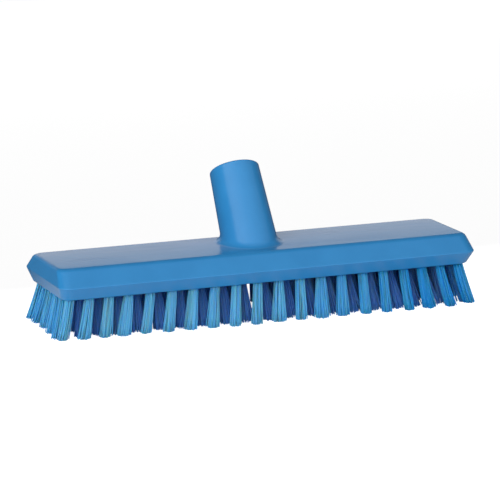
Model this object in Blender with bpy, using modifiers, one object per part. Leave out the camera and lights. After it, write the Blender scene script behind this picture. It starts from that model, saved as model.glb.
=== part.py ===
"""Floor scrub brush head with a leaning handle socket.

A moulded block carries 120 bristle tufts set in blind holes in its underside.
The brush stands on its bristle tips at z = 0, its long side along X, and the
handle socket leans back towards +Y. The socket is one moulding with the block,
kept as a solid of its own round its bore. All sizes are in metres.
"""

import math

import bmesh
import bpy
from mathutils import Matrix, Vector

MM = 0.001

# Block: widest at the belt line, narrower at the flat top and at the underside
BLOCK_LENGTH = 275.0 * MM
BLOCK_WIDTH = 80.0 * MM
TOP_END_INSET = 2.0 * MM
TOP_SIDE_INSET = 12.2 * MM
UNDER_END_INSET = 2.9 * MM
UNDER_SIDE_INSET = 6.2 * MM
TOP_LENGTH = BLOCK_LENGTH - 2.0 * TOP_END_INSET
TOP_WIDTH = BLOCK_WIDTH - 2.0 * TOP_SIDE_INSET
UNDER_LENGTH = BLOCK_LENGTH - 2.0 * UNDER_END_INSET
UNDER_WIDTH = BLOCK_WIDTH - 2.0 * UNDER_SIDE_INSET
UPPER_HEIGHT = 9.8 * MM
LOWER_HEIGHT = 8.5 * MM
CORNER_RADIUS = 6.0 * MM
TOP_EDGE_RADIUS = 2.4 * MM
UNDER_EDGE_RADIUS = 0.8 * MM

# Bristles
BRISTLE_LENGTH = 24.6 * MM
TUFT_SIDES = 8
TUFT_RADIUS = 3.2 * MM
HOLE_CLEARANCE = 0.3 * MM
HOLE_DEPTH = 9.0 * MM
STRAND_ROOT_HALF = 0.95 * MM
STRAND_ROOT_OFFSET = 1.2 * MM
STRAND_TIP_HALF = 1.5 * MM
STRAND_TIP_OFFSET = 2.1 * MM
STRAND_START = 0.5 * MM

# Rows of tufts, front to back; rows alternate between two counts, half a pitch
# apart along most of the block and closer together near its ends
ROW_COUNT = 6
OUTER_ROW_INSET = 6.0 * MM
END_TUFT_INSET = 6.1 * MM
OUTER_ROW_Y = UNDER_WIDTH / 2.0 - OUTER_ROW_INSET
END_TUFT_X = UNDER_LENGTH / 2.0 - END_TUFT_INSET
TUFT_PITCH = 14.0 * MM
CLOSE_PITCH_LENGTH = 36.5 * MM
EVEN_PITCH_REACH = END_TUFT_X - CLOSE_PITCH_LENGTH
EVEN_ROW_TUFTS = 20
ODD_ROW_TUFTS = 21
SIDE_SPLAY = 5.5 * MM
LONG_SPREAD = 2.4 * MM
END_SPLAY = 2.6 * MM

# Tufts are left out where the handle bore comes down close to the underside
BARE_HALF_LENGTH = 10.0 * MM
BARE_HALF_WIDTH = 8.0 * MM

# Slices of backing that hold the inner rows
SLICE_WIDTH = 8.0 * MM
SLICE_DEPTH = 2.5 * MM
SLICE_OVERHANG = 3.8 * MM

# Handle socket: a tapered round tube with a concave foot on the block's top
SOCKET_LEAN = math.radians(32.0)
SOCKET_FOOT_Y = 4.0 * MM
SOCKET_LENGTH = 49.8 * MM
SOCKET_FOOT_RADIUS = 17.5 * MM
SOCKET_MOUTH_RADIUS = 15.8 * MM
SOCKET_RIM_RADIUS = 2.0 * MM
SOCKET_FILLET = 6.0 * MM
FILLET_SINK = 0.15 * MM
SOCKET_ROOT = 3.0 * MM
SOCKET_SEAT_GAP = 0.3 * MM
SOCKET_SIDES = 48
BORE_MOUTH_RADIUS = 12.0 * MM
BORE_END_RADIUS = 11.2 * MM
BORE_DEPTH = 60.0 * MM
BORE_LEAD_IN = 0.6 * MM
BORE_SIDES = 40

# Heights above the floor
UNDER_Z = BRISTLE_LENGTH
BELT_Z = UNDER_Z + LOWER_HEIGHT
TOP_Z = BELT_Z + UPPER_HEIGHT

AXIS = Vector((0.0, math.sin(SOCKET_LEAN), math.cos(SOCKET_LEAN)))
ACROSS = Vector((1.0, 0.0, 0.0))
ALONG = AXIS.cross(ACROSS)
FOOT = Vector((0.0, SOCKET_FOOT_Y, TOP_Z))


def clear_scene():
    for obj in list(bpy.data.objects):
        bpy.data.objects.remove(obj, do_unlink=True)


def make_collection(name):
    collection = bpy.data.collections.new(name)
    bpy.context.scene.collection.children.link(collection)
    return collection


def make_material(name, colour, roughness):
    material = bpy.data.materials.new(name)
    material.use_nodes = True
    shader = material.node_tree.nodes["Principled BSDF"]
    shader.inputs["Base Color"].default_value = (*colour, 1.0)
    shader.inputs["Roughness"].default_value = roughness
    shader.inputs["Metallic"].default_value = 0.0
    material.diffuse_color = (*colour, 1.0)
    return material


def object_from_bmesh(bm, name, collection, parent):
    bmesh.ops.recalc_face_normals(bm, faces=bm.faces[:])
    mesh = bpy.data.meshes.new(name)
    bm.to_mesh(mesh)
    bm.free()
    obj = bpy.data.objects.new(name, mesh)
    collection.objects.link(obj)
    obj.parent = parent
    return obj


def hide_as_cutter(obj):
    obj.hide_render = True
    obj.display_type = "WIRE"


def add_boolean(obj, other, operation):
    modifier = obj.modifiers.new(other.name, "BOOLEAN")
    modifier.operation = operation
    modifier.object = other
    modifier.solver = "EXACT"


def row_y(row):
    """Distance of a row of tufts from the block's centre line."""
    return -OUTER_ROW_Y + 2.0 * OUTER_ROW_Y * row / (ROW_COUNT - 1)


def half_row_distances(count):
    """Distances of a row's tufts from its middle, out to the last one."""
    distances = [0.0] if count % 2 else [TUFT_PITCH / 2.0]
    wanted = (count + 1) // 2
    while len(distances) < wanted - 1 and distances[-1] + TUFT_PITCH < EVEN_PITCH_REACH:
        distances.append(distances[-1] + TUFT_PITCH)
    last = distances[-1]
    gaps = wanted - len(distances)
    for step in range(1, gaps + 1):
        distances.append(last + (END_TUFT_X - last) * step / gaps)
    return distances


def row_columns(row):
    """X positions of the tufts of one row, with the bare centre left out."""
    count = EVEN_ROW_TUFTS if row % 2 == 0 else ODD_ROW_TUFTS
    distances = half_row_distances(count)
    y = row_y(row)
    columns = []
    for x in sorted({-distance for distance in distances} | set(distances)):
        bare = (x / BARE_HALF_LENGTH) ** 2 + (y / BARE_HALF_WIDTH) ** 2
        if bare > 1.0:
            columns.append(x)
    return columns


def tip_shift(x, y):
    """How far a tuft's tips spread sideways from its root."""
    along = x / END_TUFT_X
    across = y / OUTER_ROW_Y
    spread = LONG_SPREAD * along + END_SPLAY * along * abs(along) ** 7
    return Vector((spread, SIDE_SPLAY * across * abs(across)))


def add_strand(bm, root_x, root_y, tip_x, tip_y, root_z, tip_z):
    """One four-sided strand, wider at its flat tip."""
    strand = bmesh.ops.create_cube(bm, size=2.0)
    for vert in strand["verts"]:
        side_x = vert.co.x
        side_y = vert.co.y
        if vert.co.z > 0.0:
            vert.co.x = root_x + side_x * STRAND_ROOT_HALF
            vert.co.y = root_y + side_y * STRAND_ROOT_HALF
            vert.co.z = root_z
        else:
            vert.co.x = tip_x + side_x * STRAND_TIP_HALF
            vert.co.y = tip_y + side_y * STRAND_TIP_HALF
            vert.co.z = tip_z


def add_tuft_strands(bm, x, y, shift):
    """Four strands of a tuft rooted at x, y, in the underside's own frame."""
    for side_x in (-1, 1):
        for side_y in (-1, 1):
            add_strand(
                bm,
                x + side_x * STRAND_ROOT_OFFSET,
                y + side_y * STRAND_ROOT_OFFSET,
                x + side_x * STRAND_TIP_OFFSET + shift.x,
                y + side_y * STRAND_TIP_OFFSET + shift.y,
                STRAND_START,
                -BRISTLE_LENGTH,
            )


def make_tuft(name, x, y, material, parts, cutters, parent):
    """A tuft on its own: a packed root in its hole with four strands below."""
    bm = bmesh.new()
    depth = HOLE_DEPTH - HOLE_CLEARANCE
    bmesh.ops.create_cone(
        bm,
        cap_ends=True,
        segments=TUFT_SIDES,
        radius1=TUFT_RADIUS,
        radius2=TUFT_RADIUS,
        depth=depth,
        matrix=Matrix.Translation((0.0, 0.0, depth / 2.0)),
    )
    tuft = object_from_bmesh(bm, name, parts, parent)
    tuft.location = (x, y, UNDER_Z)
    tuft.data.materials.append(material)

    bm = bmesh.new()
    add_tuft_strands(bm, 0.0, 0.0, tip_shift(x, y))
    strands = object_from_bmesh(bm, name + "_strands", cutters, parent)
    strands.location = tuft.location
    hide_as_cutter(strands)
    add_boolean(tuft, strands, "UNION")
    return tuft


def slice_box(bm, columns, clearance):
    """The slice of backing under half a row, as a box in the row's frame."""
    low = columns[0] - SLICE_OVERHANG - clearance
    high = columns[-1] + SLICE_OVERHANG + clearance
    length = high - low
    width = SLICE_WIDTH + 2.0 * clearance
    # The pocket runs out below the underside, the slice ends flush with it
    below = clearance * 4.0
    depth = SLICE_DEPTH + clearance + below
    box = bmesh.ops.create_cube(bm, size=1.0)
    bmesh.ops.scale(bm, vec=(length, width, depth), verts=box["verts"])
    middle = ((low + high) / 2.0, 0.0, depth / 2.0 - below)
    bmesh.ops.translate(bm, vec=middle, verts=box["verts"])
    return box["verts"]


def make_half_row(name, columns, y, material, parts, cutters, parent):
    """Half of an inner row: its tufts' strands fused to a slice of backing."""
    bm = bmesh.new()
    slice_box(bm, columns, 0.0)
    half_row = object_from_bmesh(bm, name, parts, parent)
    half_row.location = (0.0, y, UNDER_Z)
    half_row.data.materials.append(material)

    bm = bmesh.new()
    for x in columns:
        add_tuft_strands(bm, x, 0.0, tip_shift(x, y))
    strands = object_from_bmesh(bm, name + "_strands", cutters, parent)
    strands.location = half_row.location
    hide_as_cutter(strands)
    add_boolean(half_row, strands, "UNION")
    return half_row


def make_block_body(name, parts, parent):
    """The block's outer shape, from a box cut at the belt line."""
    bm = bmesh.new()
    bmesh.ops.create_cube(bm, size=1.0)
    height = TOP_Z - UNDER_Z
    bmesh.ops.scale(bm, vec=(BLOCK_LENGTH, BLOCK_WIDTH, height), verts=bm.verts[:])
    bmesh.ops.translate(bm, vec=(0.0, 0.0, UNDER_Z + height / 2.0), verts=bm.verts[:])
    upright = [edge for edge in bm.edges if abs(edge.verts[0].co.z - edge.verts[1].co.z) > 0.001]
    bmesh.ops.bevel(
        bm, geom=upright, offset=CORNER_RADIUS, offset_type="OFFSET", segments=5, profile=0.5, affect="EDGES"
    )
    bmesh.ops.bisect_plane(
        bm,
        geom=bm.verts[:] + bm.edges[:] + bm.faces[:],
        dist=0.00001,
        plane_co=(0.0, 0.0, BELT_Z),
        plane_no=(0.0, 0.0, 1.0),
    )
    top = [vert for vert in bm.verts if vert.co.z > (TOP_Z + BELT_Z) / 2.0]
    under = [vert for vert in bm.verts if vert.co.z < (UNDER_Z + BELT_Z) / 2.0]
    bmesh.ops.scale(bm, vec=(TOP_LENGTH / BLOCK_LENGTH, TOP_WIDTH / BLOCK_WIDTH, 1.0), verts=top)
    bmesh.ops.scale(bm, vec=(UNDER_LENGTH / BLOCK_LENGTH, UNDER_WIDTH / BLOCK_WIDTH, 1.0), verts=under)
    for level, radius, steps in ((TOP_Z, TOP_EDGE_RADIUS, 3), (UNDER_Z, UNDER_EDGE_RADIUS, 1)):
        rim = [edge for edge in bm.edges if all(abs(vert.co.z - level) < 0.00001 for vert in edge.verts)]
        bmesh.ops.bevel(
            bm, geom=rim, offset=radius, offset_type="OFFSET", segments=steps, profile=0.5, affect="EDGES"
        )
    return object_from_bmesh(bm, name, parts, parent)


def socket_radius(distance):
    """Outer radius of the socket at a distance up its axis from the top face."""
    return SOCKET_FOOT_RADIUS + (SOCKET_MOUTH_RADIUS - SOCKET_FOOT_RADIUS) * distance / SOCKET_LENGTH


def rim_profile():
    """Distance and radius of the rings that round the mouth's outer edge."""
    steps = 3
    rings = []
    for step in range(steps + 1):
        angle = math.radians(90.0) * step / steps
        distance = SOCKET_LENGTH - SOCKET_RIM_RADIUS * (1.0 - math.cos(angle))
        inset = SOCKET_RIM_RADIUS * (1.0 - math.sin(angle))
        rings.append((distance, socket_radius(distance) - inset))
    return rings


def socket_point(distance, angle, radius):
    return FOOT + AXIS * distance + (ACROSS * math.cos(angle) + ALONG * math.sin(angle)) * radius


def surface_height(y):
    """Height of the block's upper side: flat, then rounded over to the long slopes."""
    slope = UPPER_HEIGHT / (BLOCK_WIDTH / 2.0 - TOP_WIDTH / 2.0)
    past_edge = abs(y) - TOP_WIDTH / 2.0
    if past_edge <= -TOP_EDGE_RADIUS:
        return TOP_Z
    if past_edge < TOP_EDGE_RADIUS:
        return TOP_Z - slope * (past_edge + TOP_EDGE_RADIUS) ** 2 / (4.0 * TOP_EDGE_RADIUS)
    return TOP_Z - slope * past_edge


def foot_point(angle):
    """Where the socket's side at this angle runs into the block."""
    low = -SOCKET_LENGTH
    high = SOCKET_LENGTH
    for _ in range(40):
        middle = (low + high) / 2.0
        point = socket_point(middle, angle, socket_radius(middle))
        if point.z > surface_height(point.y):
            high = middle
        else:
            low = middle
    return socket_point(high, angle, socket_radius(high))


def fillet_points(angle, steps):
    """Points of the socket's concave foot, from its side out over the block."""
    corner = foot_point(angle)
    tangent = foot_point(angle + 0.02) - foot_point(angle - 0.02)
    outward = Vector((tangent.y, -tangent.x, 0.0)).normalized()
    if outward.dot(corner - FOOT) < 0.0:
        outward = -outward
    ahead = corner + outward * SOCKET_FILLET
    outward = (Vector((ahead.x, ahead.y, surface_height(ahead.y))) - corner).normalized()
    side = (socket_point(SOCKET_LENGTH, angle, SOCKET_MOUTH_RADIUS) - corner).normalized()
    reach = SOCKET_FILLET / math.tan(side.angle(outward) / 2.0)
    start = corner + side * reach
    end = corner + outward * reach
    end.z = surface_height(end.y) - FILLET_SINK
    points = []
    for step in range(steps + 1):
        t = step / steps
        points.append(start * (1.0 - t) ** 2 + corner * 2.0 * t * (1.0 - t) + end * t**2)
    points.append(end + Vector((0.0, 0.0, -SOCKET_ROOT)))
    return points


def make_socket_shell(parts, parent):
    """The socket's outer shape: a leaning tube whose round foot blends to a flat top.

    Its sections are unlike (a circle square to the leaning axis at the mouth, an
    oval on the flat top at the foot), so it is lofted ring by ring.
    """
    bm = bmesh.new()
    columns = []
    for index in range(SOCKET_SIDES):
        angle = math.tau * index / SOCKET_SIDES
        points = [socket_point(distance, angle, radius) for distance, radius in rim_profile()]
        points += fillet_points(angle, 5)
        columns.append(points)
    rings = []
    for level in range(len(columns[0])):
        verts = [bm.verts.new(column[level]) for column in columns]
        edges = [bm.edges.new((verts[index - 1], verts[index])) for index in range(SOCKET_SIDES)]
        rings.append((verts, edges))
    for upper, lower in zip(rings, rings[1:]):
        bmesh.ops.bridge_loops(bm, edges=upper[1] + lower[1])
    for verts, _ in (rings[0], rings[-1]):
        bm.faces.new(verts)
    return object_from_bmesh(bm, "handle_socket", parts, parent)


def make_bore(cutters, parent):
    """The tapered blind bore for the handle, turned about the socket's axis."""
    outside = 4.0 * MM
    end = SOCKET_LENGTH - BORE_DEPTH
    profile = [
        (0.0, SOCKET_LENGTH + outside),
        (BORE_MOUTH_RADIUS + BORE_LEAD_IN, SOCKET_LENGTH + outside),
        (BORE_MOUTH_RADIUS + BORE_LEAD_IN, SOCKET_LENGTH),
        (BORE_MOUTH_RADIUS, SOCKET_LENGTH - BORE_LEAD_IN),
        (BORE_END_RADIUS, end),
        (0.0, end),
    ]
    mesh = bpy.data.meshes.new("handle_bore")
    edges = [(index, index + 1) for index in range(len(profile) - 1)]
    mesh.from_pydata([(radius, 0.0, height) for radius, height in profile], edges, [])
    bore = bpy.data.objects.new("handle_bore", mesh)
    cutters.objects.link(bore)
    bore.parent = parent
    bore.location = FOOT
    bore.rotation_euler = (-SOCKET_LEAN, 0.0, 0.0)
    turn = bore.modifiers.new("turn", "SCREW")
    turn.axis = "Z"
    turn.angle = math.tau
    turn.steps = BORE_SIDES
    turn.render_steps = BORE_SIDES
    turn.use_merge_vertices = True
    turn.merge_threshold = 0.00001
    hide_as_cutter(bore)
    return bore


def make_tuft_holes(cutters, parent):
    """Blind holes for the tufts of the front and back rows."""
    bm = bmesh.new()
    below = 1.0 * MM
    depth = HOLE_DEPTH + below
    for row in (0, ROW_COUNT - 1):
        for x in row_columns(row):
            bmesh.ops.create_cone(
                bm,
                cap_ends=True,
                segments=TUFT_SIDES,
                radius1=TUFT_RADIUS + HOLE_CLEARANCE,
                radius2=TUFT_RADIUS + HOLE_CLEARANCE,
                depth=depth,
                matrix=Matrix.Translation((x, row_y(row), depth / 2.0 - below)),
            )
    holes = object_from_bmesh(bm, "tuft_holes", cutters, parent)
    holes.location = (0.0, 0.0, UNDER_Z)
    hide_as_cutter(holes)
    return holes


def half_rows(row):
    """The left and right halves of an inner row, as lists of X positions."""
    columns = row_columns(row)
    left = [x for x in columns if x < 0.001]
    right = [x for x in columns if x >= 0.001]
    return (("left", left), ("right", right))


def make_slice_pockets(cutters, parent):
    """Shallow pockets that the inner rows' slices of backing fill."""
    bm = bmesh.new()
    for row in range(1, ROW_COUNT - 1):
        for _, columns in half_rows(row):
            verts = slice_box(bm, columns, HOLE_CLEARANCE)
            bmesh.ops.translate(bm, vec=(0.0, row_y(row), 0.0), verts=verts)
    pockets = object_from_bmesh(bm, "slice_pockets", cutters, parent)
    pockets.location = (0.0, 0.0, UNDER_Z)
    hide_as_cutter(pockets)
    return pockets


def make_block(material, bore, parts, cutters, parent):
    """The block with the lower end of the bore, the holes and the pockets cut out."""
    block = make_block_body("block", parts, parent)
    block.data.materials.append(material)
    add_boolean(block, bore, "DIFFERENCE")
    add_boolean(block, make_tuft_holes(cutters, parent), "DIFFERENCE")
    add_boolean(block, make_slice_pockets(cutters, parent), "DIFFERENCE")
    return block


def make_socket(material, bore, parts, cutters, parent):
    """The socket, cut to the block's upper side with a hair's gap, and bored."""
    socket = make_socket_shell(parts, parent)
    socket.data.materials.append(material)
    seat = make_block_body("socket_seat", cutters, parent)
    seat.location = (0.0, 0.0, SOCKET_SEAT_GAP)
    hide_as_cutter(seat)
    add_boolean(socket, seat, "DIFFERENCE")
    add_boolean(socket, bore, "DIFFERENCE")
    return socket


def centre_offset():
    """Shift along Y that centres the head between its belt and the socket's rim."""
    rear = max(FOOT.y + distance * AXIS.y + radius * ALONG.y for distance, radius in rim_profile())
    return -(rear - BLOCK_WIDTH / 2.0) / 2.0


clear_scene()
parts = make_collection("scrub_brush")
cutters = make_collection("cutters")
base = bpy.data.objects.new("scrub_brush_base", None)
parts.objects.link(base)
base.location = (0.0, centre_offset(), 0.0)

moulding = make_material("blue_polypropylene", (0.035, 0.225, 0.53), 0.38)
filament = make_material("blue_bristle", (0.07, 0.33, 0.60), 0.45)

handle_bore = make_bore(cutters, base)
make_block(moulding, handle_bore, parts, cutters, base)
make_socket(moulding, handle_bore, parts, cutters, base)
for row, row_name in ((0, "front_tuft"), (ROW_COUNT - 1, "back_tuft")):
    for index, column in enumerate(row_columns(row)):
        tuft_name = "%s_%02d" % (row_name, index + 1)
        make_tuft(tuft_name, column, row_y(row), filament, parts, cutters, base)
for row in range(1, ROW_COUNT - 1):
    for half, columns in half_rows(row):
        half_name = "row_%d_%s_bristles" % (row + 1, half)
        make_half_row(half_name, columns, row_y(row), filament, parts, cutters, base)
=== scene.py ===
import math
import random

import bmesh
import bpy
from mathutils import Matrix, Vector


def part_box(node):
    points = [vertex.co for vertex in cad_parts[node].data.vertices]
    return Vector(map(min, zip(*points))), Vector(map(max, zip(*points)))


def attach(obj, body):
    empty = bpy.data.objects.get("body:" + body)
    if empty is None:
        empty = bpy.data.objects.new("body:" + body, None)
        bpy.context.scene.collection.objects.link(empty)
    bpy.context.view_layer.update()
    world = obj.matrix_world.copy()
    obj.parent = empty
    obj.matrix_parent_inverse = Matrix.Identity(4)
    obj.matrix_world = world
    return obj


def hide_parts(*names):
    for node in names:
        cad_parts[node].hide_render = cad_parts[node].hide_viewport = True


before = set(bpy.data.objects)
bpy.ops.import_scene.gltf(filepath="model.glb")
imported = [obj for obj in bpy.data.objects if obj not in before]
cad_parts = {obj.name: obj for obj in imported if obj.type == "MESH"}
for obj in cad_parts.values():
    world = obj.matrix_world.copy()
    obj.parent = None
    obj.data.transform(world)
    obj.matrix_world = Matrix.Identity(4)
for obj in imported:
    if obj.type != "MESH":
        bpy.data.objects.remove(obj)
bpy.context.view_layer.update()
bpy.ops.object.select_all(action="DESELECT")


# Block
# The long body of the brush, injection moulded in mid-blue polypropylene. It is
# widest at a belt line, slopes in to a flat top and a flat underside, and all
# its edges are rounded by the mould.

BELT_LENGTH = 0.2750
BELT_WIDTH = 0.0800
BELT_HEIGHT = 0.0085
TOP_LENGTH = 0.2710
TOP_WIDTH = 0.0556
UNDER_LENGTH = 0.2692
UNDER_WIDTH = 0.0676
CORNER_RADIUS = 0.0075
CORNER_STEPS = 10
TOP_EDGE = 0.0024
TOP_STEPS = 6
BELT_EDGE = 0.0005
BELT_STEPS = 4
UNDER_EDGE = 0.0008
UNDER_STEPS = 3
SAME_LEVEL = 0.00002

block_low, block_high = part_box("block")
under_z = block_low.z
belt_z = under_z + BELT_HEIGHT
top_z = block_high.z
middle_y = (block_low.y + block_high.y) / 2.0


def pick(piece, kind, wanted):
    """Selects, in edit mode, the vertices, edges or faces that are wanted."""
    bpy.ops.mesh.select_mode(type=kind)
    bpy.ops.mesh.select_all(action="DESELECT")
    cage = bmesh.from_edit_mesh(piece.data)
    for item in {"VERT": cage.verts, "EDGE": cage.edges, "FACE": cage.faces}[kind]:
        if wanted(item):
            item.select_set(True)
    cage.select_flush_mode()
    bmesh.update_edit_mesh(piece.data)


def level(z):
    """A test for edges that lie at the height z."""
    return lambda edge: all(abs(vert.co.z - z) < SAME_LEVEL for vert in edge.verts)


def settle(piece):
    """Puts a piece's origin at the world's, with its place in its mesh."""
    bpy.ops.object.transform_apply(location=True, rotation=True, scale=True)


bpy.ops.mesh.primitive_cube_add(
    size=1.0,
    location=(0.0, middle_y, (under_z + top_z) / 2.0),
    scale=(BELT_LENGTH, BELT_WIDTH, top_z - under_z),
)
block = bpy.context.object
block.name = "block_moulding"
settle(block)
bpy.ops.object.mode_set(mode="EDIT")
pick(block, "EDGE", lambda edge: abs(edge.verts[0].co.z - edge.verts[1].co.z) > SAME_LEVEL)
bpy.ops.mesh.bevel(offset=CORNER_RADIUS, segments=CORNER_STEPS, profile=0.5, affect="EDGES")
bpy.ops.mesh.select_all(action="SELECT")
bpy.ops.mesh.bisect(plane_co=(0.0, 0.0, belt_z), plane_no=(0.0, 0.0, 1.0))
for edge_z, length, width in ((top_z, TOP_LENGTH, TOP_WIDTH), (under_z, UNDER_LENGTH, UNDER_WIDTH)):
    pick(block, "VERT", lambda vert: abs(vert.co.z - edge_z) < SAME_LEVEL)
    bpy.ops.transform.resize(
        value=(length / BELT_LENGTH, width / BELT_WIDTH, 1.0), center_override=(0.0, middle_y, edge_z)
    )
for edge_z, radius, steps in (
    (top_z, TOP_EDGE, TOP_STEPS),
    (belt_z, BELT_EDGE, BELT_STEPS),
    (under_z, UNDER_EDGE, UNDER_STEPS),
):
    pick(block, "EDGE", level(edge_z))
    bpy.ops.mesh.bevel(offset=radius, segments=steps, profile=0.5, affect="EDGES")
bpy.ops.object.mode_set(mode="OBJECT")


# Handle socket
# A tapered round tube that leans back from the middle of the block and takes
# the end of a broom handle. It is moulded in one with the block: its foot flows
# into the block's top, and its blind bore runs on down into the block.

SOCKET_LEAN = math.radians(32.0)
SOCKET_FOOT_Y = 0.0040
SOCKET_LENGTH = 0.0498
SOCKET_FOOT_RADIUS = 0.0175
SOCKET_MOUTH_RADIUS = 0.0158
SOCKET_SIDES = 96
SOCKET_RIM = 0.0012
RIM_STEPS = 6
SOCKET_BELOW = 0.0160
FOOT_BLEND = 0.0070
FOOT_STEPS = 10
FOOT_FLANGE = 0.0060
FLANGE_EXTRA_DEPTH = 0.0005
FLANGE_BACK = 0.0020
FLANGE_RAISED = 0.0050
FOOT_SINK = 0.00006
FOOT_INSIDE = 0.0090
BORE_SIDES = 72
BORE_MOUTH_RADIUS = 0.0120
BORE_END_RADIUS = 0.0112
BORE_DEPTH = 0.0600
BORE_LEAD_IN = 0.0006
BORE_END_EDGE = 0.0012
BORE_END_STEPS = 3
CUT_PAST = 0.0010
SAME_RING = 0.0001

axis = Vector((0.0, math.sin(SOCKET_LEAN), math.cos(SOCKET_LEAN)))
foot = Vector((0.0, middle_y + SOCKET_FOOT_Y, top_z))


def up_axis(place):
    """How far up the socket's axis a place is, from the block's top."""
    return (place - foot).dot(axis)


def add_cone(name, low, high, low_radius, high_radius, sides):
    """A cone's stump round the socket's axis, between two distances up it."""
    bpy.ops.mesh.primitive_cone_add(
        vertices=sides,
        radius1=low_radius,
        radius2=high_radius,
        depth=high - low,
        location=foot + axis * (low + high) / 2.0,
        rotation=(-SOCKET_LEAN, 0.0, 0.0),
    )
    cone = bpy.context.object
    cone.name = name
    settle(cone)
    return cone


def cut_or_join(piece, other, operation):
    """Applies a boolean to a piece and removes the shape that it used."""
    modifier = piece.modifiers.new(operation.lower(), "BOOLEAN")
    modifier.operation = operation
    modifier.object = other
    modifier.solver = "EXACT"
    bpy.ops.object.select_all(action="DESELECT")
    bpy.context.view_layer.objects.active = piece
    piece.select_set(True)
    bpy.ops.object.modifier_apply(modifier=modifier.name)
    bpy.data.objects.remove(other, do_unlink=True)


taper = (SOCKET_FOOT_RADIUS - SOCKET_MOUTH_RADIUS) / SOCKET_LENGTH
below_radius = SOCKET_FOOT_RADIUS + taper * SOCKET_BELOW
socket = add_cone(
    "socket_tube", -SOCKET_BELOW, SOCKET_LENGTH, below_radius, SOCKET_MOUTH_RADIUS, SOCKET_SIDES
)
bpy.ops.object.mode_set(mode="EDIT")
pick(socket, "EDGE", lambda edge: all(up_axis(vert.co) > SOCKET_LENGTH - SAME_RING for vert in edge.verts))
bpy.ops.mesh.bevel(offset=SOCKET_RIM, segments=RIM_STEPS, profile=0.5, affect="EDGES")
bpy.ops.mesh.select_all(action="SELECT")
bpy.ops.mesh.bisect(plane_co=foot, plane_no=(0.0, 0.0, 1.0), clear_inner=True)

# The flange round the foot is drawn out above the block's top and laid down on it
foot_reach = SOCKET_FOOT_RADIUS / math.cos(SOCKET_LEAN)
flange_width = 1.0 + FOOT_FLANGE / SOCKET_FOOT_RADIUS
flange_depth = 1.0 + (FOOT_FLANGE + FLANGE_EXTRA_DEPTH) / foot_reach
pick(socket, "EDGE", lambda edge: edge.is_boundary)
bpy.ops.mesh.extrude_region_move(TRANSFORM_OT_translate={"value": (0.0, 0.0, 0.0)})
bpy.ops.transform.resize(value=(flange_width, flange_depth, 1.0), center_override=foot)
bpy.ops.transform.translate(value=(0.0, FLANGE_BACK, FLANGE_RAISED))
bpy.ops.object.vertex_group_add()
bpy.ops.object.vertex_group_assign()
bpy.ops.object.mode_set(mode="OBJECT")
laid = socket.modifiers.new("laid", "SHRINKWRAP")
laid.wrap_method = "PROJECT"
laid.use_project_z = True
laid.use_negative_direction = True
laid.use_positive_direction = False
laid.target = block
laid.vertex_group = socket.vertex_groups[0].name
bpy.ops.object.modifier_apply(modifier=laid.name)
bpy.ops.object.mode_set(mode="EDIT")
pick(socket, "EDGE", lambda edge: edge.is_boundary)
bpy.ops.transform.translate(value=(0.0, 0.0, -FOOT_SINK))
pick(socket, "EDGE", lambda edge: not edge.is_boundary and level(top_z)(edge))
bpy.ops.mesh.bevel(
    offset_type="WIDTH", offset=FOOT_BLEND, segments=FOOT_STEPS, profile=0.5, affect="EDGES"
)

# The tube is closed inside the block, so that the two join as solids
pick(socket, "EDGE", lambda edge: edge.is_boundary)
bpy.ops.mesh.extrude_region_move(TRANSFORM_OT_translate={"value": (0.0, 0.0, -FOOT_INSIDE)})
bpy.ops.transform.resize(value=(1.0, 1.0, 0.0), center_override=(0.0, 0.0, top_z - FOOT_INSIDE))
bpy.ops.mesh.edge_face_add()
bpy.ops.mesh.select_all(action="SELECT")
bpy.ops.mesh.normals_make_consistent(inside=False)
bpy.ops.object.mode_set(mode="OBJECT")
cut_or_join(block, socket, "UNION")

# The bore's core runs past the mouth, so that no ring of it lies in the face that it cuts
bore_end = SOCKET_LENGTH - BORE_DEPTH
bore_mouth = SOCKET_LENGTH - BORE_LEAD_IN
bore = add_cone("bore_core", bore_end, bore_mouth, BORE_END_RADIUS, BORE_MOUTH_RADIUS, BORE_SIDES)
bpy.ops.object.mode_set(mode="EDIT")
pick(bore, "FACE", lambda face: up_axis(face.calc_center_median()) > bore_mouth - SAME_RING)
flare = BORE_LEAD_IN + CUT_PAST
growth = 1.0 + flare / BORE_MOUTH_RADIUS
bpy.ops.mesh.extrude_region_move(TRANSFORM_OT_translate={"value": axis * flare})
bpy.ops.transform.resize(
    value=(growth, growth, growth), center_override=foot + axis * (SOCKET_LENGTH + CUT_PAST)
)
pick(bore, "EDGE", lambda edge: all(up_axis(vert.co) < bore_end + SAME_RING for vert in edge.verts))
bpy.ops.mesh.bevel(offset=BORE_END_EDGE, segments=BORE_END_STEPS, profile=0.5, affect="EDGES")
bpy.ops.object.mode_set(mode="OBJECT")
cut_or_join(block, bore, "DIFFERENCE")


# Tuft holes
# 120 round blind holes in the underside, in six rows. Rows alternate between 20
# and 21 places, half a pitch apart, and draw together near the ends. Three
# places in the middle stay bare, where the bore comes close to the underside.

ROWS = 6
ROW_SPACING = 0.01112
TUFT_PITCH = 0.0140
END_COLUMN = 0.1285
EVEN_STEPS = 7
CLOSE_STEPS_EVEN_ROW = 3
CLOSE_STEPS_ODD_ROW = 4
BARE_LENGTH = 0.0100
BARE_WIDTH = 0.0080
HOLE_SIDES = 20
HOLE_RADIUS = 0.0032
HOLE_LIP = 0.0003
HOLE_DEPTH = 0.0090
LEVEL_NORMAL = 0.9
SHARP_ANGLE = math.radians(32.0)


def half_row(first, close_steps):
    """Places right of the middle: a pitch apart, then closer up to the end."""
    even = [first + TUFT_PITCH * step for step in range(EVEN_STEPS)]
    closer = (END_COLUMN - even[-1]) / close_steps
    return even + [even[-1] + closer * step for step in range(1, close_steps + 1)]


def row_y(row):
    """Distance of a row from the block's middle, front row first."""
    return ROW_SPACING * (row - (ROWS - 1) / 2.0)


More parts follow.
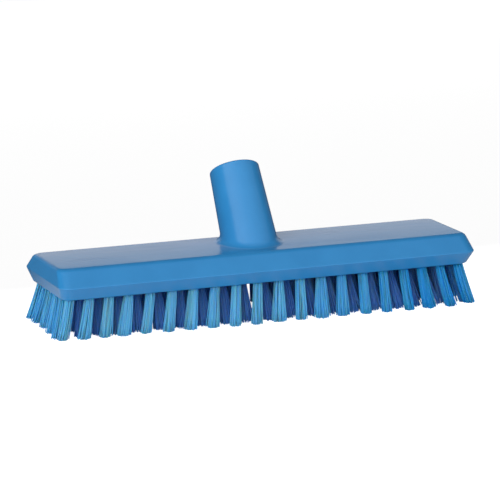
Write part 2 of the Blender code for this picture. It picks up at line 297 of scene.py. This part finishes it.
def row_columns(row):
    """Places along X of a row's tufts, from left to right."""
    if row % 2:
        half = half_row(0.0, CLOSE_STEPS_ODD_ROW)
    else:
        half = half_row(TUFT_PITCH / 2.0, CLOSE_STEPS_EVEN_ROW)
    columns = sorted({-x for x in half} | set(half))
    y = row_y(row)
    return [x for x in columns if (x / BARE_LENGTH) ** 2 + (y / BARE_WIDTH) ** 2 > 1.0]


def joined_copies(name, model, places):
    """One object that holds a copy of a model's mesh at each place."""
    cage = bmesh.new()
    for place in places:
        known = len(cage.verts)
        cage.from_mesh(model.data)
        cage.verts.ensure_lookup_table()
        bmesh.ops.translate(cage, vec=place, verts=cage.verts[known:])
    mesh = bpy.data.meshes.new(name)
    cage.to_mesh(mesh)
    cage.free()
    piece = bpy.data.objects.new(name, mesh)
    bpy.context.scene.collection.objects.link(piece)
    return piece


bpy.ops.mesh.primitive_cylinder_add(
    vertices=HOLE_SIDES,
    radius=HOLE_RADIUS,
    depth=HOLE_DEPTH - HOLE_LIP,
    location=(0.0, 0.0, (HOLE_DEPTH + HOLE_LIP) / 2.0),
)
drill = bpy.context.object
settle(drill)
bpy.ops.object.mode_set(mode="EDIT")
pick(drill, "FACE", lambda face: face.normal.z < -LEVEL_NORMAL)
flare = HOLE_LIP + CUT_PAST
growth = 1.0 + flare / HOLE_RADIUS
bpy.ops.mesh.extrude_region_move(TRANSFORM_OT_translate={"value": (0.0, 0.0, -flare)})
bpy.ops.transform.resize(value=(growth, growth, 1.0), center_override=(0.0, 0.0, 0.0))
bpy.ops.object.mode_set(mode="OBJECT")
hole_places = [Vector((x, middle_y + row_y(row), under_z)) for row in range(ROWS) for x in row_columns(row)]
holes = joined_copies("hole_cores", drill, hole_places)
bpy.data.objects.remove(drill, do_unlink=True)
cut_or_join(block, holes, "DIFFERENCE")
bpy.ops.object.shade_smooth_by_angle(angle=SHARP_ANGLE)
evened = block.modifiers.new("evened", "WEIGHTED_NORMAL")
evened.keep_sharp = True
bpy.ops.object.modifier_apply(modifier=evened.name)


# Blue moulding plastic
# Satin polypropylene, dyed through. The mould leaves a fine grain, slow sink
# waves and faint flow marks along the block, and the top has a grey painted sheen.

MOULDING_BLUE = (0.028, 0.228, 0.515)
MOULDING_DEEP = (0.024, 0.208, 0.480)
TONE_BAND = (0.3, 0.7)
# The grey tint below is a painted sheen, standing for reflected light on the block's top
SHEEN_TINT = (0.550, 0.600, 0.750)
SHEEN_DEPTH = (0.0001, 0.0006)
SHEEN_PATCHES = (0.7, 1.3)
PATCH_BAND = (0.35, 0.65)
SHEEN_FRONT = -0.024
SHEEN_REAR = 0.022
SHEEN_MOST = 0.34
FLOW_WAVES = (14.0, 75.0, 75.0)
CLOUD_WAVES = 45.0
SINK_WAVES = 38.0
SINK_DEPTH = 0.0004
GRAIN_WAVES = 1100.0
GRAIN_DEPTH = 0.00002
MOULDING_ROUGHNESS = (0.19, 0.262)
MOULDING_IOR = 1.49


def new_material(name):
    """A material, its shader, and the means to add nodes and join them to it."""
    material = bpy.data.materials.new(name)
    material.use_nodes = True
    tree = material.node_tree
    shader = tree.nodes["Principled BSDF"]

    def add(kind, inputs=(), **settings):
        node = tree.nodes.new(kind)
        for key, value in settings.items():
            setattr(node, key, value)
        for socket_name, value in dict(inputs).items():
            if isinstance(value, bpy.types.NodeSocket):
                tree.links.new(value, node.inputs[socket_name])
            else:
                node.inputs[socket_name].default_value = value
        return node

    def join(output, socket_name):
        tree.links.new(output, shader.inputs[socket_name])

    return material, shader, add, join


def ranged(add, value, start, stop, low, high):
    """A value that runs from start to stop, made to run from low to high."""
    limits = {"From Min": start, "From Max": stop, "To Min": low, "To Max": high}
    return add("ShaderNodeMapRange", {"Value": value, **limits}).outputs["Result"]


def product(add, first, second):
    """Two values multiplied."""
    return add("ShaderNodeMath", {0: first, 1: second}, operation="MULTIPLY").outputs[0]


def mixed(add, share, colour, other):
    """A colour with a share of another one in it."""
    return add("ShaderNodeMix", {0: share, 6: colour, 7: (*other, 1.0)}, data_type="RGBA").outputs[2]


moulding, shader, add, join = new_material("blue_moulding")
place = add("ShaderNodeTexCoord").outputs["Object"]
along = add("ShaderNodeMapping", {"Vector": place, "Scale": FLOW_WAVES}).outputs["Vector"]
flow = add("ShaderNodeTexNoise", {"Vector": along, "Scale": 1.0, "Detail": 3.0, "Roughness": 0.55})
flow = flow.outputs["Fac"]
cloud = add("ShaderNodeTexNoise", {"Vector": place, "Scale": CLOUD_WAVES, "Detail": 4.0}).outputs["Fac"]
grain = add("ShaderNodeTexNoise", {"Vector": place, "Scale": GRAIN_WAVES, "Detail": 1.0}).outputs["Fac"]
wave = add("ShaderNodeTexNoise", {"Vector": place, "Scale": SINK_WAVES, "Detail": 0.0}).outputs["Fac"]

tone = add("ShaderNodeValToRGB", {"Fac": cloud})
for stop, position, blue in zip(tone.color_ramp.elements, TONE_BAND, (MOULDING_DEEP, MOULDING_BLUE)):
    stop.position = position
    stop.color = (*blue, 1.0)

# The painted sheen, a grey tint for reflected light, lies on the flat top alone, in patches, and more of it
# towards the rear
spot = add("ShaderNodeSeparateXYZ", {"Vector": place})
off_top = add("ShaderNodeMath", {0: spot.outputs["Z"], 1: top_z}, operation="SUBTRACT").outputs[0]
off_top = add("ShaderNodeMath", {0: off_top}, operation="ABSOLUTE").outputs[0]
held = ranged(add, off_top, *SHEEN_DEPTH, 1.0, 0.0)
patches = ranged(add, flow, *PATCH_BAND, *SHEEN_PATCHES)
far = ranged(add, spot.outputs["Y"], SHEEN_FRONT, SHEEN_REAR, 0.0, SHEEN_MOST)
painted_sheen = product(add, product(add, held, patches), far)
join(mixed(add, painted_sheen, tone.outputs["Color"], SHEEN_TINT), "Base Color")
join(ranged(add, flow, *TONE_BAND, *MOULDING_ROUGHNESS), "Roughness")
rise = add("ShaderNodeBump", {"Height": wave, "Strength": 0.6, "Distance": SINK_DEPTH}).outputs["Normal"]
skin = add("ShaderNodeBump", {"Height": grain, "Strength": 0.3, "Distance": GRAIN_DEPTH, "Normal": rise})
join(skin.outputs["Normal"], "Normal")
shader.inputs["IOR"].default_value = MOULDING_IOR
block.data.materials.clear()
block.data.materials.append(moulding)

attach(block, "root")
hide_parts("block", "handle_socket")


# Bristle filament
# Stiff round polyester filament in a lighter blue, cut square at its tip. Each
# tuft is a bundle of it, folded over a staple in its hole, so only straight
# ends show, packed tight at the hole and spreading down to the floor.

FILAMENT_RADIUS = 0.00032
FILAMENT_SIDES = 5
FILAMENT_STEPS = 4
FILAMENTS = 78
ROOT_REACH = 0.00275
ROOT_SUNK = 0.0020
BRISTLE_LENGTH = under_z
FILAMENT_BLUE = (0.008, 0.250, 0.710)
FILAMENT_PALE = (0.115, 0.405, 0.790)
# The navy below is painted shade, given to the inner rows for the shadow inside the brush
FILAMENT_PAINTED_SHADE = (0.052, 0.166, 0.520)
CUT_END = (0.985, 0.999)
SPECKS = 900.0
FILAMENT_ROUGHNESS = (0.42, 0.60)
FILAMENT_IOR = 1.55
FILAMENT_SHINE = 0.3
FILAMENT_GLOW = 0.8
FILAMENT_GLOW_DEPTH = 0.0020
FILAMENT_GLOW_COLOUR = (0.15, 0.5, 1.0)


def flat_at(z):
    """A test for level faces that lie at the height z."""
    return lambda face: abs(face.normal.z) > LEVEL_NORMAL and abs(face.verts[0].co.z - z) < SAME_LEVEL


bpy.ops.mesh.primitive_circle_add(vertices=FILAMENT_SIDES, radius=FILAMENT_RADIUS, fill_type="NGON")
filament = bpy.context.object
filament.name = "filament_model"
bpy.ops.object.mode_set(mode="EDIT")
for step in range(FILAMENT_STEPS):
    pick(filament, "FACE", flat_at(-step / FILAMENT_STEPS))
    bpy.ops.mesh.extrude_region_move(TRANSFORM_OT_translate={"value": (0.0, 0.0, -1.0 / FILAMENT_STEPS)})
bpy.ops.mesh.select_all(action="SELECT")
bpy.ops.mesh.normals_make_consistent(inside=False)
bpy.ops.object.mode_set(mode="OBJECT")

bristle, shader, add, join = new_material("blue_filament")
shade = add("ShaderNodeAttribute", attribute_name="shade").outputs["Fac"]
down = add("ShaderNodeAttribute", attribute_name="down").outputs["Fac"]
inside = add("ShaderNodeAttribute", attribute_name="inside").outputs["Fac"]
place = add("ShaderNodeTexCoord").outputs["Object"]
speck = add("ShaderNodeTexNoise", {"Vector": place, "Scale": SPECKS, "Detail": 2.0}).outputs["Fac"]
# The shade attribute holds a random tone per filament and painted light that makes the tufts paler to the
# left
tint = add("ShaderNodeValToRGB", {"Fac": shade})
tint.color_ramp.elements[0].color = (*FILAMENT_BLUE, 1.0)
tint.color_ramp.elements[1].color = (*FILAMENT_PALE, 1.0)
cut_end = ranged(add, down, *CUT_END, 1.0, 0.0)
# Painted shade: filaments marked inside take the navy of their shadow, all but their cut ends
join(mixed(add, product(add, inside, cut_end), tint.outputs["Color"], FILAMENT_PAINTED_SHADE), "Base Color")
join(ranged(add, speck, 0.0, 1.0, *FILAMENT_ROUGHNESS), "Roughness")
shader.inputs["IOR"].default_value = FILAMENT_IOR
shader.inputs["Specular IOR Level"].default_value = FILAMENT_SHINE
shader.inputs["Subsurface Weight"].default_value = FILAMENT_GLOW
shader.inputs["Subsurface Radius"].default_value = FILAMENT_GLOW_COLOUR
shader.inputs["Subsurface Scale"].default_value = FILAMENT_GLOW_DEPTH

# How much the filaments of a tuft differ: their angle round it in radians, their
# spread, their wander and trim in metres, their curve, and their shade
ANGLE_RANGE = (-0.15, 0.15)
SPREAD_RANGE = (0.85, 1.15)
WANDER = 0.00030
TRIM = 0.00018
BOW_RANGE = (1.0, 1.4)
SHADE_RANGE = (-0.22, 0.22)


def add_tuft(cage, layers, tuft, dice):
    """Adds one tuft's filaments, from its hole at root to its tips round tip."""
    root, tip, spread, tilt, paleness, inside = tuft
    shade_layer, down_layer, painted_shade_layer = layers
    golden = math.pi * (3.0 - math.sqrt(5.0))
    for index in range(FILAMENTS):
        ring = math.sqrt((index + 0.5) / FILAMENTS)
        angle = index * golden + dice.uniform(*ANGLE_RANGE)
        start = Vector((math.cos(angle), math.sin(angle), 0.0)) * (ring * ROOT_REACH)
        end = start * (spread * dice.uniform(*SPREAD_RANGE))
        end += Vector((dice.gauss(0.0, WANDER), dice.gauss(0.0, WANDER), 0.0))
        lift = abs(dice.gauss(0.0, TRIM)) + max(0.0, tilt * end.x)
        turn = dice.uniform(0.0, math.tau)
        bow = dice.uniform(*BOW_RANGE)
        shade = paleness + dice.uniform(*SHADE_RANGE)
        known = len(cage.verts)
        cage.from_mesh(filament.data)
        cage.verts.ensure_lookup_table()
        for vert in cage.verts[known:]:
            fall = -vert.co.z
            reach = fall**bow
            x = vert.co.x * math.cos(turn) - vert.co.y * math.sin(turn)
            y = vert.co.x * math.sin(turn) + vert.co.y * math.cos(turn)
            centre = root + start + (tip - root + end - start) * reach
            z = under_z + ROOT_SUNK - (BRISTLE_LENGTH + ROOT_SUNK - lift) * fall
            vert.co = Vector((centre.x + x, centre.y + y, z))
            vert[shade_layer] = shade
            vert[down_layer] = fall
            vert[painted_shade_layer] = inside


def make_tufts(name, tufts, seed):
    """A piece of one or more tufts, each (root, tip, spread, tilt, paleness, inside)."""
    dice = random.Random(seed)
    cage = bmesh.new()
    layers = [cage.verts.layers.float.new(attribute) for attribute in ("shade", "down", "inside")]
    for tuft in tufts:
        add_tuft(cage, layers, tuft, dice)
    mesh = bpy.data.meshes.new(name)
    cage.to_mesh(mesh)
    cage.free()
    mesh.materials.append(bristle)
    for face in mesh.polygons:
        face.use_smooth = len(face.vertices) == 4
    piece = bpy.data.objects.new(name, mesh)
    bpy.context.scene.collection.objects.link(piece)
    return piece


# Front row of tufts
# The 20 tufts along the front edge, each in its own hole. They lean out over
# the edge and each has spread and settled a little differently in use.

# How far each tuft's tip is set along the block and out to the front, in
# millimetres, and how many times wider it is at its tip than at its hole. The
# cut of each tuft rises a little to the right
FRONT_LEANS = (
    (-6.0, 2.5, 1.20), (-5.5, 4.5, 1.45), (-5.0, 5.0, 1.25), (-5.5, 5.0, 1.65), (-5.5, 5.0, 1.15),
    (-5.0, 7.0, 1.20), (-5.0, 7.0, 1.50), (-4.5, 8.0, 1.25), (-4.5, 9.0, 1.40), (-4.5, 10.0, 1.25),
    (-3.5, 8.5, 1.60), (-3.0, 9.5, 1.20), (-3.0, 9.5, 1.90), (-3.0, 10.0, 1.40), (-1.5, 11.0, 1.15),
    (-2.0, 12.0, 1.00), (-1.0, 13.0, 1.05), (0.5, 12.0, 1.50), (2.0, 13.5, 1.15), (4.5, 9.0, 1.30),
)
FRONT_TILT = 0.10
FRONT_SEED = 100
MILLIMETRES_IN_METRE = 1000.0
PALENESS = 0.88
LEAST_PALENESS = 0.05
FADE_START = -0.05


def painted_paleness_at(x):
    """Painted light: the tufts are paler to the left, where the light falls, and keep a stronger blue from
    the middle to the right.
    """
    return max(LEAST_PALENESS, PALENESS - max(0.0, x / END_COLUMN - FADE_START))


for number, (x, (set_along, set_out, spread)) in enumerate(zip(row_columns(0), FRONT_LEANS), start=1):
    root = Vector((x, middle_y + row_y(0), 0.0))
    tip = root + Vector((set_along, -set_out, 0.0)) / MILLIMETRES_IN_METRE
    leaning = (root, tip, spread, FRONT_TILT, painted_paleness_at(x), 0.0)
    tuft = make_tufts("front_row_tuft_%02d" % number, [leaning], FRONT_SEED + number)
    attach(tuft, "root")
    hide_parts("front_tuft_%02d" % number)


# Rear and inner rows of tufts
# Tufts of the same filament behind the front row, each folded into its hole.
# The rows lean to the side of the block that they are nearer to, and all lean
# out at the ends. The inner rows are given the deeper blue of their shadow.

# For each row from the second to the rear one: how far its tips lean to the
# front in the middle, how much more at the right end, how far they are set
# along the block in its middle, how many times wider a tuft gets, and how
# steeply its cut rises to the right
ROW_LEANS = (0.0115, 0.0070, -0.0008, -0.0040, -0.0060)
ROW_SETS = (0.0040, 0.0025, 0.0, 0.0, 0.0)
ROW_TWISTS = (-0.0003, 0.0005, 0.0010, 0.0035, 0.0025)
ROW_SPREADS = (1.90, 1.65, 1.55, 1.55, 1.35)
ROW_TILTS = (0.16, 0.10, 0.05, 0.05, 0.05)
LEFT_END_LEAN = 0.0038
RIGHT_END_LEAN = 0.0015
ALONG_LEAN = 0.0020
END_POWER = 7
TIP_WANDER = 0.0006
TUFT_SPREAD_RANGE = (0.93, 1.07)
REAR_PALENESS = 0.6
RIGHT_END_PAINTED_SHADE = 0.6
SAME_COLUMN = 0.001
LEAN_SEED = 7
REAR_SEED = 200
INNER_SEED = 300
ROW_SEEDS = 10
HALF_SEEDS = {"left": 4, "right": 5}


def leaning_tuft(row, x, dice):
    """A tuft of a row behind the front one, leaning as its row does."""
    along = x / END_COLUMN
    end_lean = RIGHT_END_LEAN if x > 0.0 else LEFT_END_LEAN
    lean = ALONG_LEAN + end_lean * abs(along) ** END_POWER
    tip_x = x + ROW_TWISTS[row - 1] * (1.0 - along**2) + lean * along
    tip_y = middle_y + row_y(row) - ROW_LEANS[row - 1] - ROW_SETS[row - 1] * along
    root = Vector((x, middle_y + row_y(row), 0.0))
    tip = Vector((tip_x + dice.gauss(0.0, TIP_WANDER), tip_y + dice.gauss(0.0, TIP_WANDER), 0.0))
    spread = ROW_SPREADS[row - 1] * dice.uniform(*TUFT_SPREAD_RANGE)
    at_end = abs(x) > END_COLUMN - SAME_COLUMN
    # Painted shade: the inner rows take the navy of their shadow; the end columns and the rear row keep
    # their blue, and the right end column takes part of it
    inside = 0.0 if at_end or row == ROWS - 1 else 1.0
    if at_end and x > 0.0:
        inside = RIGHT_END_PAINTED_SHADE
    return root, tip, spread, ROW_TILTS[row - 1], min(REAR_PALENESS, painted_paleness_at(x)), inside


lean_dice = random.Random(LEAN_SEED)
for number, x in enumerate(row_columns(ROWS - 1), start=1):
    leaning = leaning_tuft(ROWS - 1, x, lean_dice)
    tuft = make_tufts("rear_row_tuft_%02d" % number, [leaning], REAR_SEED + number)
    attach(tuft, "root")
    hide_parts("back_tuft_%02d" % number)

# A tuft in the very middle belongs to the left half of its row
for row in range(1, ROWS - 1):
    for half, half_seed in HALF_SEEDS.items():
        columns = [x for x in row_columns(row) if (x < SAME_COLUMN) == (half == "left")]
        tufts = [leaning_tuft(row, x, lean_dice) for x in columns]
        seed = INNER_SEED + row * ROW_SEEDS + half_seed
        piece = make_tufts("row_%d_%s_tufts" % (row + 1, half), tufts, seed)
        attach(piece, "root")
        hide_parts("row_%d_%s_bristles" % (row + 1, half))
bpy.data.objects.remove(filament, do_unlink=True)


# Floor, light and camera
# A plain white studio table inside a bright dome on the camera's side, with a
# broad softbox low on its left and a weaker one at the back, a pale backdrop
# behind the brush and dim walls elsewhere.

# The table is brighter on the left, a painted pool of light, and dark behind the brush,
# a painted shadow, for what the plastic reflects, and the camera sees it plain white
FLOOR_SIZE = 12.0
FLOOR_SHADE = 0.86
FLOOR_BRIGHT = 0.98
BRIGHT_SIDE = (-0.10, -0.22)
DARK_REAR = (0.03, 0.12)
REAR_SHARE = 0.12
FLOOR_GLOW = 0.90
FLOOR_ROUGHNESS = 0.9

bpy.ops.mesh.primitive_plane_add(size=FLOOR_SIZE, location=(0.0, 0.0, 0.0))
floor = bpy.context.object
floor.name = "studio_floor"
white, shader, add, join = new_material("studio_white")
place = add("ShaderNodeTexCoord").outputs["Object"]
spot = add("ShaderNodeSeparateXYZ", {"Vector": place})
painted_light_left = ranged(add, spot.outputs["X"], *BRIGHT_SIDE, FLOOR_SHADE, FLOOR_BRIGHT)
painted_shade_rear = ranged(add, spot.outputs["Y"], *DARK_REAR, 1.0, REAR_SHARE)
join(product(add, painted_light_left, painted_shade_rear), "Base Color")
shader.inputs["Roughness"].default_value = FLOOR_ROUGHNESS
shader.inputs["Specular IOR Level"].default_value = 0.0
shader.inputs["Emission Color"].default_value = (1.0, 1.0, 1.0, 1.0)
seen = add("ShaderNodeLightPath").outputs["Is Camera Ray"]
join(product(add, seen, FLOOR_GLOW), "Emission Strength")
floor.data.materials.append(white)

# The surround is drawn by direction: X to the right, Y to the rear and Z up, each
# from -1 to 1. BEHIND is the way that the camera looks, DOME_LEFT_TO_RIGHT is how
# bright the dome is on its two sides, and the other pairs are where a change
# starts and where it ends
DIM_STUDIO = 0.08
BACKDROP = 0.69
BEHIND = (0.36, 0.93)
BACKDROP_SIDES = (0.74, 0.93)
BACKDROP_FOOT = (0.0, 0.12)
BACKDROP_TOP = (0.23, 0.36)
DOME_REAR = (-0.12, 0.04)
DOME_LEFT_TO_RIGHT = (1.75, 0.25)
DOME_OVERHEAD = (0.80, 0.93)
OVERHEAD_REACH = 0.15
ZENITH = (0.78, 0.94)
ZENITH_SHARE = 0.5

world = bpy.data.worlds.new("studio_surround")
bpy.context.scene.world = world
world.use_nodes = True
sky = world.node_tree


def sky_node(kind, inputs, **settings):
    """Adds a node to the world and sets or links its inputs, by place."""
    node = sky.nodes.new(kind)
    for key, value in settings.items():
        setattr(node, key, value)
    for index, value in enumerate(inputs):
        if isinstance(value, bpy.types.NodeSocket):
            sky.links.new(value, node.inputs[index])
        else:
            node.inputs[index].default_value = value
    return node.outputs[0]


def sky_math(operation, first, second):
    """Two values of the surround put together."""
    return sky_node("ShaderNodeMath", (first, second), operation=operation)


def sky_change(value, span, low, high, kind="SMOOTHSTEP"):
    """A value that goes from low to high over a span of another one."""
    return sky_node("ShaderNodeMapRange", (value, *span, low, high), interpolation_type=kind)


heading = sky.nodes.new("ShaderNodeSeparateXYZ")
sky.links.new(sky.nodes.new("ShaderNodeTexCoord").outputs["Generated"], heading.inputs[0])
sky_x = heading.outputs["X"]
sky_y = heading.outputs["Y"]
sky_z = heading.outputs["Z"]

facing = sky_math("ADD", sky_math("MULTIPLY", sky_x, BEHIND[0]), sky_math("MULTIPLY", sky_y, BEHIND[1]))
behind = sky_change(facing, BACKDROP_SIDES, 0.0, 1.0)
rising = sky_change(sky_z, BACKDROP_FOOT, 0.0, 1.0)
ending = sky_change(sky_z, BACKDROP_TOP, 1.0, 0.0)
backdrop = sky_math("MULTIPLY", sky_math("MULTIPLY", rising, ending), behind)
backdrop = sky_math("MULTIPLY", backdrop, BACKDROP)

# The bright dome on the camera's side reaches back a little where it is overhead
overhead = sky_change(sky_z, DOME_OVERHEAD, 0.0, OVERHEAD_REACH, "LINEAR")
fronts = sky_change(sky_math("SUBTRACT", sky_y, overhead), DOME_REAR, 1.0, 0.0)
leftward = sky_change(sky_x, (-1.0, 1.0), *DOME_LEFT_TO_RIGHT, "LINEAR")
zenith = sky_change(sky_z, ZENITH, 1.0, ZENITH_SHARE)
dome = sky_math("MULTIPLY", sky_math("MULTIPLY", fronts, leftward), zenith)
surround = sky_math("ADD", sky_math("ADD", backdrop, DIM_STUDIO), dome)
sky.links.new(surround, sky.nodes["Background"].inputs["Color"])


SOFTBOX_DISTANCE = 1.6
SOFTBOX_WIDTH = 1.5
SOFTBOX_HEIGHT = 0.75
SOFTBOX_AIM = 0.03


def add_softbox(name, azimuth, elevation, power):
    """A softbox round the brush, aimed at it; azimuth 0 is its front."""
    lamp = bpy.data.lights.new(name, "AREA")
    lamp.shape = "RECTANGLE"
    lamp.size = SOFTBOX_WIDTH
    lamp.size_y = SOFTBOX_HEIGHT
    lamp.energy = power
    softbox = bpy.data.objects.new(name, lamp)
    bpy.context.scene.collection.objects.link(softbox)
    turn = math.radians(azimuth)
    rise = math.radians(elevation)
    back = Vector((math.sin(turn) * math.cos(rise), -math.cos(turn) * math.cos(rise), math.sin(rise)))
    softbox.location = back * SOFTBOX_DISTANCE + Vector((0.0, 0.0, SOFTBOX_AIM))
    softbox.rotation_euler = back.to_track_quat("Z", "Y").to_euler()
    softbox.visible_glossy = False


add_softbox("key_softbox", azimuth=-36.0, elevation=15.0, power=12.4)
add_softbox("rear_softbox", azimuth=172.0, elevation=14.0, power=11.0)

CAMERA_AZIMUTH = math.radians(-20.83)
CAMERA_ELEVATION = math.radians(11.88)
CAMERA_ROLL = math.radians(-0.70)
CAMERA_DISTANCE = 1.8135
CAMERA_AIM_RIGHT = -0.00133
CAMERA_AIM_UP = 0.005286
CAMERA_LENS = 208.17
CAMERA_SENSOR = 36.0

back = Vector((
    math.sin(CAMERA_AZIMUTH) * math.cos(CAMERA_ELEVATION),
    -math.cos(CAMERA_AZIMUTH) * math.cos(CAMERA_ELEVATION),
    math.sin(CAMERA_ELEVATION),
))
level_right = Vector((math.cos(CAMERA_AZIMUTH), math.sin(CAMERA_AZIMUTH), 0.0))
level_up = back.cross(level_right)
right = level_right * math.cos(CAMERA_ROLL) + level_up * math.sin(CAMERA_ROLL)
up = level_up * math.cos(CAMERA_ROLL) - level_right * math.sin(CAMERA_ROLL)
camera = bpy.data.objects.new("camera", bpy.data.cameras.new("camera"))
bpy.context.scene.collection.objects.link(camera)
stand = Matrix((right, up, back)).transposed().to_4x4()
aim = Vector((CAMERA_AIM_RIGHT, middle_y, belt_z + CAMERA_AIM_UP))
stand.translation = aim + back * CAMERA_DISTANCE
camera.matrix_world = stand
camera.data.lens = CAMERA_LENS
camera.data.sensor_width = CAMERA_SENSOR
bpy.context.scene.camera = camera
bpy.context.scene.view_settings.view_transform = "Standard"
